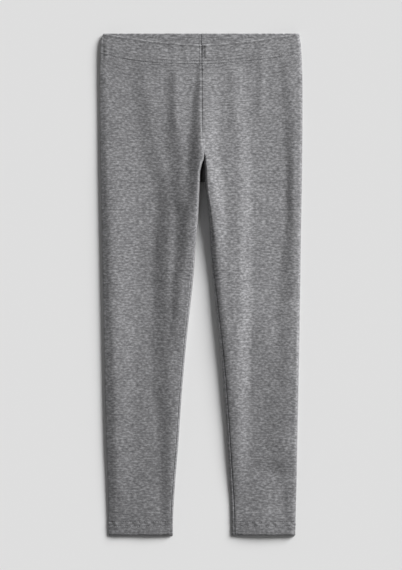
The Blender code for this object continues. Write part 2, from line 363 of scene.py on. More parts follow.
@dataclass
class Columns:
    """How a sheet's columns are spread.

    On the front they are close together by the seam and by the outer side, and even between. The rest of the
    way has its steps under the outer side, over the back and up the inner side, and its climb to the seam.
    """

    by_seam: tuple[float, ...] = (0.0, 0.3, 0.6, 1.0, 1.5, 2.2, 3.0, 4.0, 5.2, 6.6, 8.2, 10.0)
    by_side: tuple[float, ...] = (14.0, 12.0, 10.5, 9.0, 7.7, 6.4, 5.2, 4.0, 3.0, 2.1, 1.3, 0.7, 0.25, 0.0)
    between: int = 46
    foot_steps: int = 4
    back_steps: int = 44
    curl_steps: int = 5
    climb: tuple[float, ...] = (0.03, 0.08, 0.15, 0.24, 0.35, 0.47, 0.58, 0.68, 0.77, 0.85, 0.91, 0.96, 1.0)
    flat_end: float = 12.0

    def spread(self, width: np.ndarray, shelf: np.ndarray) -> np.ndarray:
        """Distances of the front's columns from the seam.

        Args:
            width: the front's width from the seam to the outer side, one value a row, or one for each column.
            shelf: the width beside the seam that the first step crosses before the close columns start.

        Returns:
            Distances, one row for each row of widths.
        """
        start, end = self.by_seam[-1], self.by_side[0]
        shares = np.arange(1, self.between) / self.between
        fixed = np.concatenate([self.by_seam, start * (1 - shares) - end * shares, -np.array(self.by_side)])
        growing = np.concatenate([np.zeros(len(self.by_seam)), shares, np.ones(len(self.by_side))])
        past_shelf = (fixed != 0) * (1 - growing)
        return fixed + growing * width + past_shelf * shelf


@dataclass
class Sheet:
    """A cloth surface: points in mm by row and column, and their distances from the seam at each end."""

    points: np.ndarray
    downs: np.ndarray
    from_start: np.ndarray
    from_end: np.ndarray
    fold_column: int
    out: int

    def normals(self) -> np.ndarray:
        """Outward unit normals, worked out apart above and below the crotch, where the cloth's edge jumps.

        Returns:
            One normal for each point.
        """
        across = np.gradient(self.points, axis=1)
        parts = np.split(self.points, [int(np.sum(self.downs < CROTCH_DOWN))])
        along = np.concatenate([np.gradient(part, axis=0) for part in parts if len(part) > 1])
        found = np.cross(across, along) * -self.out
        return found / np.maximum(np.linalg.norm(found, axis=2, keepdims=True), TINY)

    def raise_by(self, lift: np.ndarray) -> None:
        """Moves the cloth out along its normals, but never into what it lies on."""
        self.points = self.points + self.normals() * lift[..., None]
        self.points[..., 2] = np.maximum(self.points[..., 2], 0.0)


@dataclass(frozen=True)
class Groove:
    """A seam line, into which the cloth turns down."""

    depth: float = 1.2
    width: float = 0.6

    def lift(self, distance: np.ndarray) -> np.ndarray:
        """How far the seam moves the cloth."""
        return -self.depth * hump(distance, self.width)

    def sink(self, sheet: Sheet) -> None:
        """Sinks the seam lines at both of a sheet's sides."""
        sheet.raise_by(self.lift(sheet.from_start) + self.lift(sheet.from_end))


@dataclass
class LegForm:
    """The form of one half of the garment, from the waist to the hem."""

    seams: RiseSeams
    side: Side
    outline: tuple[OutlineRow, ...]
    sections: tuple[SectionRow, ...]
    outer_round: EdgeRound
    inner_round: EdgeRound
    rise_groove: Groove
    creases: tuple[Crease, ...]
    back_creases: tuple[Crease, ...]
    columns: Columns = field(default_factory=Columns)
    partner: LegForm | None = field(default=None, repr=False, compare=False)
    middle_from: float = 0.12
    middle_to: float = 0.42
    back_fade: float = 0.08
    least_inset: float = 0.4

    def __post_init__(self) -> None:
        """Reads the tables' columns as curves."""
        self.out = self.side.value
        self.outer_at = column_curve(self.outline, "outer_x")
        self.inner_below = column_curve(self.outline, "inner_x")
        names = ("fold", "roll", "outer", "middle", "inner_roll", "seam_inset", "shelf", "inner_fold")
        self.section = {name: column_curve(self.sections, name) for name in names}

    def inner_at(self, down: np.ndarray) -> np.ndarray:
        """x of the front's inner limit: the centre front seam, and below the crotch the leg's inner side."""
        seam = self.seams.front_at(down) + self.out * SEAM_GAP / 2
        return np.where(down < CROTCH_DOWN, seam, self.inner_below(down))

    def seam_at(self, down: np.ndarray) -> np.ndarray:
        """x of the seam on the front: the centre front seam, and below the crotch the inseam."""
        inset = np.where(down < CROTCH_DOWN, 0.0, self.section["seam_inset"](down))
        return self.inner_at(down) + self.out * inset

    @staticmethod
    def roll(distance: np.ndarray, width: np.ndarray, edge: EdgeRound) -> np.ndarray:
        """Rise of a rolled side: a small round at its edge, a sloping face, and a soft crease where it ends.

        Args:
            distance: distance in from the edge.
            width: width of the sloping face.
            edge: the round.

        Returns:
            The share of the full height.
        """
        arc = np.sqrt(1 - (1 - np.clip(distance / edge.width, 0.0, 1.0)) ** 2)
        face = np.clip(distance / width, 0.0, 1.0)
        past = np.maximum(face - edge.bend, 0.0)
        slope = (face - past * past / (2 * (1 - edge.bend))) * 2 / (1 + edge.bend)
        return edge.share * arc + (1 - edge.share) * slope

    def level(self, x: np.ndarray, down: np.ndarray) -> np.ndarray:
        """Height of the front without its rolled sides.

        Args:
            x: places across.
            down: places down.

        Returns:
            Heights in mm.
        """
        outer_x, inner_x = self.outer_at(down), self.inner_at(down)
        share = (outer_x - x) / (outer_x - inner_x)
        outer, middle = self.section["outer"](down), self.section["middle"](down)
        height = outer + (middle - outer) * ease(share, self.middle_from, self.middle_to)
        for fold in self.creases:
            height = height + fold.lift(x, down)
        return height

    def seam_height(self, down: np.ndarray) -> np.ndarray:
        """Height at which the two halves meet at the centre front: midway between their own."""
        seam = self.seams.front_at(down)
        return (self.level(seam, down) + self.partner.level(seam, down)) / 2

    def top(self, x: np.ndarray, down: np.ndarray) -> np.ndarray:
        """Height of the front's outer face.

        Args:
            x: places across.
            down: places down.

        Returns:
            Heights in mm.
        """
        height, fold = self.level(x, down), self.section["fold"](down)
        outer_away, inner_away = (self.outer_at(down) - x) * self.out, (x - self.inner_at(down)) * self.out
        height = fold + (height - fold) * self.roll(outer_away, self.section["roll"](down), self.outer_round)
        inner_away = np.maximum(inner_away - self.section["shelf"](down), 0.0)
        inner_rise = self.roll(inner_away, self.section["inner_roll"](down), self.inner_round)
        seam = self.seam_height(down)
        sunk = seam + (self.seams.valley_height - seam) * self.seams.sinking(down)
        base = np.where(down < CROTCH_DOWN, sunk, self.section["inner_fold"](down))
        return base + (height - base) * inner_rise

    def columns_at(self, down: np.ndarray) -> np.ndarray:
        """x of the front's columns.

        Args:
            down: places down, one a row or one for each column.

        Returns:
            x by row and column.
        """
        seam = self.seam_at(down)
        width = (self.outer_at(down) - seam) * self.out
        return seam + self.out * self.columns.spread(width, self.section["shelf"](down))

    def front(self, downs: np.ndarray) -> np.ndarray:
        """The front's points, from the seam to the outer side.

        Args:
            downs: places down of the rows.

        Returns:
            Points by row and column, in mm.
        """
        rows = downs[:, None]
        fade = 1 - ease(rows, BAND_HEIGHT, self.seams.dip_fades_at)
        level = rows + self.seams.dip(self.columns_at(rows), rows) * fade
        x = self.columns_at(level)
        return np.stack([x, LENGTH / 2 - level, self.top(x, level)], axis=2)

    def back_lift(self, x: np.ndarray, rows: np.ndarray, shares: np.ndarray) -> np.ndarray:
        """Height of the back's creases above the surface it lies on."""
        by_sides = ease(shares, 0.0, self.back_fade) * (1 - ease(shares, 1 - self.back_fade, 1.0))
        return sum(fold.lift(x, rows + 0 * x) for fold in self.back_creases) * by_sides

    def underside(self, downs: np.ndarray) -> np.ndarray:
        """The points from under the outer side over the back to the inner side, up to the leg's inner edge.

        Args:
            downs: places down of the rows.

        Returns:
            Points by row and column, in mm.
        """
        rows = downs[:, None]
        is_leg = rows >= CROTCH_DOWN
        outer_x, fold, out = self.outer_at(rows), self.section["fold"](rows), self.out
        turns = np.linspace(0, math.pi / 2, self.columns.foot_steps + 1)[1:]
        foot_x = outer_x - out * fold * (1 - np.cos(turns))
        foot_z = fold * (1 - np.sin(turns))
        edge = np.where(is_leg, self.inner_below(rows), self.seams.back_at(rows) + out * SEAM_GAP / 2)
        curl = self.section["inner_fold"](rows)
        back_end = edge + out * np.where(is_leg, curl, self.columns.flat_end)
        shares = np.arange(1, self.columns.back_steps + 1) / self.columns.back_steps
        back_start = outer_x - out * fold
        back_x = back_start + (back_end - back_start) * shares
        turns = np.linspace(math.pi / 2, 0, self.columns.curl_steps + 1)[1:]
        even = np.linspace(0, 1, self.columns.curl_steps + 1)[1:]
        curl_x = np.where(is_leg, edge + out * curl * (1 - np.cos(turns)), back_end - out * INNER_FOLD * even)
        curl_z = np.where(is_leg, curl * (1 - np.sin(turns)), 0.0)
        climb = np.array(self.columns.climb)
        inset = np.maximum(self.section["seam_inset"](rows) - SEAM_GAP, self.least_inset)
        flat_rest = self.columns.flat_end - INNER_FOLD
        flank_x = np.where(is_leg, edge + out * inset * climb, edge + out * flat_rest * (1 - climb))
        flank_z = np.where(is_leg, self.top(flank_x, rows + 0 * flank_x), 0.0)
        x = np.concatenate([foot_x, back_x, curl_x, flank_x], axis=1)
        z = np.concatenate([foot_z, self.back_lift(back_x, rows, shares), curl_z, flank_z], axis=1)
        return np.stack([x, np.broadcast_to(LENGTH / 2 - rows, x.shape), z], axis=2)

    def sheet(self, downs: Sequence[float]) -> Sheet:
        """The cloth from the seam on the front round the outer side to the seam again.

        Args:
            downs: places down of the rows.

        Returns:
            The sheet.
        """
        rows = np.asarray(downs, float)
        front = self.front(rows)
        points = np.concatenate([front, self.underside(rows)], axis=1)
        steps = np.linalg.norm(np.diff(points, axis=1), axis=2)
        from_start = np.concatenate([np.zeros((len(rows), 1)), np.cumsum(steps, axis=1)], axis=1)
        return Sheet(points, rows, from_start, from_start[:, -1:] - from_start, front.shape[1] - 1, self.out)


@dataclass
class RightHalf(LegForm):
    """The right half, on the -X side."""

    side: Side = Side.RIGHT
    outline: tuple[OutlineRow, ...] = table(
        OutlineRow,
        (0.0, -137.75, -1.55),
        (5.0, -140.35, -1.55),
        (15.0, -142.55, -1.55),
        (28.0, -143.15, -1.55),
        (48.0, -143.65, -1.55),
        (73.0, -144.15, -1.55),
        (105.0, -143.95, -1.55),
        (145.0, -143.65, -1.55),
        (187.0, -143.05, -1.55),
        (211.0, -142.55, -1.55),
        (222.0, -142.35, -1.95),
        (240.0, -142.05, -2.85),
        (265.0, -141.45, -4.15),
        (308.0, -140.45, -7.75),
        (350.0, -139.65, -11.05),
        (407.0, -138.55, -17.35),
        (464.0, -137.35, -23.25),
        (521.0, -136.35, -27.95),
        (578.0, -134.95, -31.85),
        (634.0, -132.75, -36.45),
        (691.0, -131.35, -39.75),
        (713.6, -131.45, -39.95),
    )
    sections: tuple[SectionRow, ...] = table(
        SectionRow,
        (0.0, 5.4, 10.0, 8.4, 8.4, 3.0, 1.0),
        (29.0, 5.4, 10.0, 8.0, 8.0, 3.0, 1.0),
        (60.0, 4.8, 9.5, 7.0, 6.4, 3.0, 1.0),
        (105.0, 4.2, 11.5, 7.4, 5.8, 3.0, 1.0),
        (160.0, 4.2, 12.0, 8.4, 5.6, 3.0, 1.0),
        (211.0, 4.4, 13.0, 9.8, 5.4, 3.0, 0.3, 0.0, 2.4),
        (228.0, 4.4, 13.0, 9.8, 5.4, 3.0, 0.3, 0.0, 5.0),
        (272.0, 4.6, 15.0, 10.6, 5.4, 4.0, 2.5, 0.0, 5.0),
        (350.0, 4.8, 15.5, 10.8, 5.2, 5.0, 3.0, 0.0, 4.4),
        (440.0, 4.8, 16.0, 10.6, 5.6, 6.0, 3.0, 0.0, 3.4),
        (528.0, 4.6, 17.5, 10.4, 6.4, 8.0, 3.0, 0.0, 2.4),
        (613.0, 4.2, 16.5, 9.6, 6.8, 9.0, 3.0, 0.0, 1.8),
        (660.0, 3.8, 15.0, 7.9, 6.2, 8.0, 3.0),
        (698.0, 3.2, 13.0, 6.1, 5.5, 7.0, 3.0),
        (713.6, 2.8, 13.0, 5.6, 5.0, 6.0, 3.0),
    )
    outer_round: EdgeRound = EdgeRound(2.0, 0.12, 0.5)
    inner_round: EdgeRound = EdgeRound(3.0, 0.8, 0.3)
    rise_groove: Groove = Groove(depth=2.6, width=0.4)
    back_creases: tuple[Crease, ...] = (
        crease(RIDGE, (70, -97.75, 0.5, 5, 9), (150, -83.75, 0.9, 6, 12), (230, -71.75, 0.4, 6, 10)),
        crease(RIDGE, (120, -41.75, 0.4, 5, 7), (200, -29.75, 1.1, 6, 9), (262, -25.75, 0.5, 5, 8)),
        crease(RIDGE, (300, -105.75, 0.3, 6, 12), (380, -93.75, 0.9, 8, 14), (470, -89.75, 0.4, 8, 12)),
        crease(RIDGE, (420, -53.75, 0.4, 5, 8), (505, -61.75, 0.7, 6, 10), (590, -67.75, 0.3, 6, 8)),
    )
    creases: tuple[Crease, ...] = (
        crease(
            STEP_UP, (46, -88.25, 1.4, 9, 9), (73, -88.25, 2.0, 9, 9), (109, -85.25, 2.8, 13, 13),
            (152, -74.75, 2.6, 14, 14), (194, -63.75, 4.0, 15, 15), (216, -56.75, 5.4, 13, 15),
            (237, -53.75, 7.8, 14, 14), (258, -53.75, 8.4, 14, 14), (280, -55.75, 8.8, 14, 14),
            (322, -56.75, 8.8, 15, 14), (379, -57.75, 7.6, 14, 14), (436, -55.75, 7.2, 18, 15),
            (493, -54.25, 6.2, 18, 14), (549, -51.75, 4.6, 12, 10), (606, -50.75, 3.8, 10, 9),
            (663, -50.75, 2.8, 8, 7), (688, -49.75, 2.2, 7, 6), (700, -49.75, 0.3, 6, 6),
            (713, -49.75, 0.0, 6, 6),
        ),
        crease(
            STEP_UP, (60, -44.25, 1.4, 7, 7), (109, -44.25, 2.4, 8, 8), (152, -39.75, 5.0, 14, 14),
            (173, -35.75, 6.4, 15, 15), (194, -34.75, 7.4, 14, 14), (216, -34.75, 8.0, 12, 13),
            (237, -32.75, 7.4, 11, 12), (258, -28.75, 7.4, 10, 11), (280, -27.75, 7.8, 10, 10),
            (301, -27.75, 7.8, 10, 10), (322, -30.25, 6.8, 10, 10), (350, -33.75, 5.6, 10, 9),
            (379, -36.25, 5.8, 10, 9), (407, -38.25, 4.2, 9, 8), (436, -40.75, 1.6, 7, 7),
        ),
        crease(
            STEP_UP, (46, -2.75, 1.2, 4, 4), (73, -3.75, 3.4, 6, 4), (109, -6.25, 5.0, 8, 5),
            (130, -6.25, 7.4, 11, 6), (152, -4.75, 10.0, 15, 6), (173, -5.25, 11.0, 15, 6),
            (194, -7.25, 11.0, 14, 7), (216, -12.75, 9.0, 12, 10), (237, -14.75, 6.0, 10, 9),
            (258, -17.75, 3.6, 8, 7), (280, -21.75, 1.0, 6, 6),
        ),
        crease(RIDGE, (60, -35.75, 1.2, 6, 8), (95, -35.75, 1.8, 6, 9), (128, -35.75, 1.4, 6, 9)),
        crease(RIDGE, (85, -74.75, 0.6, 9, 12), (130, -68.75, 0.4, 9, 12)),
        crease(RIDGE, (630, -89.75, 0.4, 26, 30), (680, -77.75, 1.6, 26, 28), (713, -71.75, 1.3, 24, 26)),
        crease(TROUGH, (12, -3.05, 0.7, 0.9, 0.9), (40, -2.75, 0.5, 0.9, 0.9), fade=6),
        crease(TROUGH, (20, -46.75, 0.5, 2.5, 3.5), (38, -47.75, 0.6, 2.5, 3.5), fade=7),
        crease(TROUGH, (16, -30.25, 0.8, 2.0, 3.0), (34, -29.25, 0.8, 2.0, 3.0), fade=7),
        crease(TROUGH, (16, -17.25, 0.8, 1.6, 2.6), (34, -16.75, 0.7, 1.6, 2.6), fade=7),
        crease(TROUGH, (3, -139.15, 0.9, 0.9, 1.1), (34, -139.15, 0.7, 0.9, 1.1), fade=6),
    )


@dataclass
class LeftHalf(LegForm):
    """The left half, on the +X side."""

    side: Side = Side.LEFT
    outline: tuple[OutlineRow, ...] = table(
        OutlineRow,
        (0.0, 139.25, -1.15),
        (9.6, 141.05, -1.15),
        (26.6, 142.55, -1.15),
        (52.0, 143.75, -1.15),
        (95.0, 144.15, -1.15),
        (211.0, 143.35, 5.75),
        (213.5, 143.25, 6.05),
        (218.0, 143.25, 6.45),
        (227.0, 143.05, 7.25),
        (247.0, 142.65, 9.75),
        (272.0, 142.15, 11.65),
        (304.0, 141.65, 12.95),
        (343.0, 141.15, 16.05),
        (386.0, 140.55, 20.05),
        (428.0, 139.85, 24.65),
        (471.0, 138.95, 28.65),
        (514.0, 138.15, 32.05),
        (556.0, 137.25, 35.25),
        (599.0, 136.45, 38.05),
        (641.0, 135.65, 40.55),
        (677.0, 134.65, 42.45),
        (713.6, 133.95, 43.05),
    )
    sections: tuple[SectionRow, ...] = table(
        SectionRow,
        (0.0, 3.2, 6.0, 8.4, 8.6, 3.0, 1.0),
        (29.0, 3.8, 6.0, 8.0, 8.0, 3.0, 1.0),
        (60.0, 4.6, 5.5, 6.8, 6.8, 3.0, 1.0),
        (110.0, 5.2, 5.5, 6.2, 6.2, 3.0, 1.0),
        (160.0, 5.2, 5.5, 6.0, 5.8, 3.0, 1.0),
        (174.0, 5.2, 5.5, 6.0, 5.8, 3.0, 1.0, 0.2),
        (178.0, 5.2, 5.5, 6.0, 5.8, 3.0, 1.0, 0.5),
        (185.0, 5.2, 5.5, 6.0, 5.8, 3.0, 1.0, 2.3),
        (192.0, 5.2, 5.5, 6.0, 5.8, 3.0, 1.0, 4.9),
        (198.0, 5.2, 5.5, 6.0, 5.8, 3.0, 1.0, 6.3),
        (210.95, 5.2, 5.5, 6.0, 5.8, 3.0, 0.3, 7.0),
        (211.0, 5.2, 5.5, 6.0, 5.8, 3.0, 0.8),
        (213.5, 5.2, 5.5, 6.0, 5.8, 3.0, 0.8),
        (247.0, 5.2, 5.5, 6.0, 6.6, 4.0, 1.1),
        (280.0, 5.2, 5.5, 6.0, 6.6, 7.0, 1.2),
        (304.0, 5.2, 5.5, 6.0, 6.6, 10.0, 1.5),
        (343.0, 5.0, 5.5, 6.0, 6.6, 12.0, 2.5),
        (386.0, 5.0, 5.5, 6.0, 6.6, 13.5, 3.8),
        (428.0, 5.0, 5.5, 6.0, 6.6, 14.0, 4.2),
        (471.0, 4.8, 5.5, 6.0, 5.8, 14.5, 4.6),
        (514.0, 4.6, 5.5, 6.0, 5.8, 14.5, 4.7),
        (556.0, 4.2, 5.5, 6.0, 5.8, 14.5, 4.5),
        (600.0, 4.0, 5.5, 6.2, 6.0, 14.5, 4.4),
        (641.0, 3.8, 5.5, 6.1, 5.9, 14.0, 4.5),
        (677.0, 3.4, 5.5, 5.4, 5.4, 11.0, 4.7),
        (698.0, 3.0, 5.5, 5.5, 5.5, 9.0, 4.8),
        (713.6, 2.6, 5.5, 5.1, 5.0, 8.0, 4.8),
    )
    outer_round: EdgeRound = EdgeRound(5.5, 1.0)
    inner_round: EdgeRound = EdgeRound(3.2, 0.5, 0.0)
    rise_groove: Groove = Groove(depth=2.6, width=1.0)
    back_creases: tuple[Crease, ...] = (
        crease(RIDGE, (60, 90.25, 0.5, 9, 5), (140, 78.25, 1.0, 12, 6), (215, 64.25, 0.4, 10, 6)),
        crease(RIDGE, (150, 28.25, 0.4, 8, 5), (222, 34.25, 1.0, 9, 6), (300, 42.25, 0.4, 9, 6)),
        crease(RIDGE, (330, 110.25, 0.3, 10, 6), (410, 98.25, 0.8, 13, 7), (500, 94.25, 0.3, 12, 7)),
        crease(RIDGE, (470, 60.25, 0.4, 8, 5), (560, 68.25, 0.7, 9, 6), (640, 76.25, 0.3, 8, 6)),
    )
    creases: tuple[Crease, ...] = (
        crease(
            STEP_DOWN, (60, 17.25, 1.6, 12, 12), (109, 17.25, 4.6, 13, 13), (152, 14.25, 8.8, 12, 14),
            (194, 18.75, 9.9, 11, 11), (216, 22.75, 9.2, 10, 11), (237, 25.25, 8.4, 9, 10),
            (258, 27.75, 7.0, 9, 10), (280, 29.25, 5.0, 9, 9), (322, 30.25, 1.5, 9, 9),
        ),
        crease(
            STEP_DOWN, (60, 59.75, 1.2, 10, 10), (109, 59.75, 3.2, 11, 11), (152, 61.75, 4.5, 11, 11),
            (216, 63.75, 6.2, 11, 11), (280, 63.75, 6.8, 11, 11), (322, 63.75, 7.2, 11, 11),
            (379, 64.25, 7.8, 11, 11), (436, 60.75, 8.2, 11, 11), (493, 60.25, 7.2, 11, 11),
            (549, 60.25, 5.4, 11, 11), (606, 60.75, 3.6, 10, 10), (640, 59.25, 1.2, 9, 9),
        ),
        crease(
            STEP_UP, (46, 116.25, 1.4, 6, 5), (73, 119.25, 2.4, 8, 7), (105, 124.25, 3.4, 12, 10),
            (145, 125.75, 4.0, 11, 7), (187, 125.75, 4.6, 7, 7), (230, 125.25, 4.8, 6, 6),
            (272, 125.55, 4.9, 8, 8), (315, 122.75, 5.6, 11, 10), (357, 122.25, 5.6, 15, 11),
            (400, 120.75, 5.0, 18, 10), (442, 120.25, 4.6, 18, 10), (485, 116.25, 4.2, 22, 12),
            (528, 113.25, 3.8, 24, 12), (570, 113.25, 3.2, 24, 10), (613, 115.25, 2.6, 20, 8),
            (652, 122.25, 1.2, 8, 6), (682, 124.25, 1.6, 7, 6), (702, 126.25, 0.2, 6, 5),
        ),
        crease(RIDGE, (59, 45.25, 0.8, 6, 8), (109, 46.25, 1.0, 6, 8), (130, 46.25, 0.6, 6, 8)),
        crease(RIDGE, (40, 85.25, 1.2, 5, 7), (85, 85.25, 1.2, 5, 7), (109, 85.25, 0.8, 5, 7)),
        crease(STEP_UP, (400, 84.25, 1.4, 18, 18), (460, 84.25, 3.0, 20, 20), (600, 84.25, 2.6, 20, 20)),
        crease(
            RIDGE, (640, 88.25, 1.8, 22, 24), (680, 89.25, 2.6, 22, 24), (713, 90.25, 1.2, 20, 24), fade=20,
        ),
        crease(STEP_UP, (688, 58.25, 1.0, 7, 8), (713, 58.25, 1.6, 7, 8), fade=16),
        crease(RIDGE, (12, 7.2, 1.5, 1.9, 2.8), (30, 6.8, 1.3, 1.9, 2.8), fade=8),
        crease(TROUGH, (14, 59.25, 0.5, 2.5, 3.5), (22, 60.25, 0.5, 2.5, 3.5), fade=6),
        crease(TROUGH, (12, 73.25, 0.5, 2.5, 3.5), (22, 74.25, 0.5, 2.5, 3.5), fade=6),
    )


def both_forms() -> tuple[LegForm, LegForm]:
    """Both halves, which share their seams and meet at them.

    Returns:
        The right and the left half.
    """
    seams = RiseSeams()
    right, left = RightHalf(seams), LeftHalf(seams)
    right.partner, left.partner = left, right
    return right, left


@dataclass
class Wall:
    """Cloth with its thickness: a sheet, an inner face and the edges between them."""

    thickness: float
    thin_by_seam: float = 0.45
    thin_width: float = 2.5
    roll_steps: int = 5

    def depth(self, sheet: Sheet) -> np.ndarray:
        """Thickness at each point, thinner where the cloth turns into a seam."""
        from_seam = np.minimum(sheet.from_start, sheet.from_end)
        return self.thickness * (1 - (1 - self.thin_by_seam) * (1 - ease(from_seam, 0, self.thin_width)))

    def edge_roll(self, outer: np.ndarray, inner: np.ndarray, before: np.ndarray) -> list[np.ndarray]:
        """Rows of points round a rolled edge.

        Args:
            outer: the outer face's last row.
            inner: the inner face's last row.
            before: the outer face's row before the last.

        Returns:
            The rows between the outer and the inner one.
        """
        middle, half = (outer + inner) / 2, (outer - inner) / 2
        away = outer - before
        away /= np.maximum(np.linalg.norm(away, axis=1, keepdims=True), TINY)
        away *= np.linalg.norm(half, axis=1, keepdims=True)
        turns = np.linspace(0, math.pi, self.roll_steps + 1)[1:-1]
        return [middle + half * math.cos(turn) + away * math.sin(turn) for turn in turns]

    def close(self, sheet: Sheet, roll_top: bool, roll_bottom: bool) -> tuple[np.ndarray, np.ndarray]:
        """The closed wall as one grid that runs over the outer face, round an edge and over the inner face.

        Args:
            sheet: the outer face.
            roll_top: whether the edge towards the waist is rolled.
            roll_bottom: whether the edge towards the hem is rolled.

        Returns:
            Points by row and column, and each point's place in the cut, in mm.
        """
        outer = sheet.points
        inner = outer - sheet.normals() * self.depth(sheet)[..., None]
        bottom = self.edge_roll(outer[-1], inner[-1], outer[-2]) if roll_bottom else []
        top = self.edge_roll(outer[0], inner[0], outer[1])[::-1] if roll_top else []
        rows = [*outer, *bottom, *inner[::-1], *top]
        across = sheet.from_start - sheet.from_start[:, [sheet.fold_column]]
        along = np.broadcast_to(sheet.downs[:, None], across.shape)
        place = np.stack([across, along], axis=2)
        places = [*place, *[place[-1]] * len(bottom), *place[::-1], *[place[0]] * len(top)]
        return np.array(rows), np.array(places)


@dataclass
class MeshMaker:
    """Collects grids of points and makes them one mesh."""

    name: str
    corners: list[np.ndarray] = field(default_factory=list)
    faces: list[tuple[int, ...]] = field(default_factory=list)
    places: list[np.ndarray] = field(default_factory=list)
    count: int = 0

    def add_wall(self, points: np.ndarray, places: np.ndarray, out: int) -> None:
        """Adds a closed wall, whose rows go round and whose columns end in flat rims.

        Args:
            points: points by row and column, in mm.
            places: each point's place in the cut, in mm.
            out: the way to the outer side along X, which sets how the faces turn.
        """
        rows, columns = points.shape[:2]
        index = self.count + np.arange(rows * columns).reshape(rows, columns)
        below = np.roll(index, -1, axis=0)
        quads = np.stack([index[:, :-1], index[:, 1:], below[:, 1:], below[:, :-1]], axis=2).reshape(-1, 4)
        half = rows // 2
        rims = []
        for column, turn in ((0, 1), (columns - 1, -1)):
            for k in range(half):
                a, b = index[k, column], index[(k + 1) % rows, column]
                c, d = index[(rows - 2 - k) % rows, column], index[rows - 1 - k, column]
                if len({a, b, c, d}) == 4:
                    rims.append((a, b, c, d)[::turn])
        faces = quads if out < 0 else quads[:, ::-1]
        self.faces += [tuple(int(i) for i in face) for face in faces]
        self.faces += [tuple(int(i) for i in (face if out < 0 else face[::-1])) for face in rims]
        self.corners.append(points.reshape(-1, 3))
        self.places.append(places.reshape(-1, 2))
        self.count += rows * columns

    def add_tube(self, rings: np.ndarray) -> None:
        """Adds a tube with closed ends.

        Args:
            rings: points by ring and corner, in mm.
        """
        count, sides = rings.shape[:2]
        index = self.count + np.arange(count * sides).reshape(count, sides)
        following = np.roll(index, -1, axis=1)
        quads = np.stack([index[:-1], following[:-1], following[1:], index[1:]], axis=2).reshape(-1, 4)
        self.faces += [tuple(int(i) for i in face) for face in quads]
        self.faces += [tuple(int(i) for i in index[0][::-1]), tuple(int(i) for i in index[-1])]
        self.corners.append(rings.reshape(-1, 3))
        self.places.append(np.zeros((count * sides, 2)))
        self.count += count * sides

    def build(self, material: bpy.types.Material) -> bpy.types.Object:
        """Makes the object.

        Args:
            material: its only material.

        Returns:
            The object, smooth shaded, with its places in the cut as a UV layer in metres.
        """
        mesh = bpy.data.meshes.new(self.name)
        mesh.from_pydata((np.concatenate(self.corners) * MM).tolist(), [], self.faces)
        layer = mesh.uv_layers.new(name="cut")
        vertex_of_loop = np.empty(len(mesh.loops), np.int32)
        mesh.loops.foreach_get("vertex_index", vertex_of_loop)
        layer.data.foreach_set("uv", (np.concatenate(self.places) * MM)[vertex_of_loop].ravel())
        mesh.shade_smooth()
        mesh.materials.append(material)
        return put(self.name, mesh)


@dataclass
class Graph:
    """A short way to write a material's nodes."""

    tree: bpy.types.NodeTree

    def feed(self, node: bpy.types.Node, sockets: dict[str | int, object]) -> None:
        """Feeds a node's inputs.

        Args:
            node: the node.
            sockets: for each input a value, or the output that feeds it.
        """
        for key, value in sockets.items():
            if isinstance(value, bpy.types.NodeSocket):
                self.tree.links.new(value, node.inputs[key])
            else:
                node.inputs[key].default_value = value

    def add(
        self, kind: str, sockets: dict[str | int, object] | None = None, **settings: object
    ) -> bpy.types.Node:
        """Adds a node.

        Args:
            kind: the node's type.
            sockets: what feeds its inputs.
            settings: the node's own properties.

        Returns:
            The node.
        """
        node = self.tree.nodes.new(kind)
        for name, value in settings.items():
            setattr(node, name, value)
        self.feed(node, sockets or {})
        return node

    def maths(self, operation: str, first: object, second: object = 0.0) -> bpy.types.NodeSocket:
        """The output of a math node that works on two values or sources."""
        return self.add("ShaderNodeMath", {0: first, 1: second}, operation=operation).outputs[0]


def new_material(name: str) -> tuple[bpy.types.Material, Graph, bpy.types.Node]:
    """A plain material.

    Args:
        name: its name.

    Returns:
        The material, its nodes and its surface.
    """
    made = bpy.data.materials.new(name)
    made.use_nodes = True
    return made, Graph(made.node_tree), made.node_tree.nodes["Principled BSDF"]


def put(name: str, data: bpy.types.ID) -> bpy.types.Object:
    """Puts an object into the scene.

    Args:
        name: its name.
        data: its mesh, light or camera.

    Returns:
        The object.
    """
    made = bpy.data.objects.new(name, data)
    bpy.context.scene.collection.objects.link(made)
    return made


@dataclass(frozen=True)
class FleckLayer:
    """One layer of flecks: their length along a course, their height, how grainy they are and their share."""

    length: float
    height: float
    detail: float
    weight: float


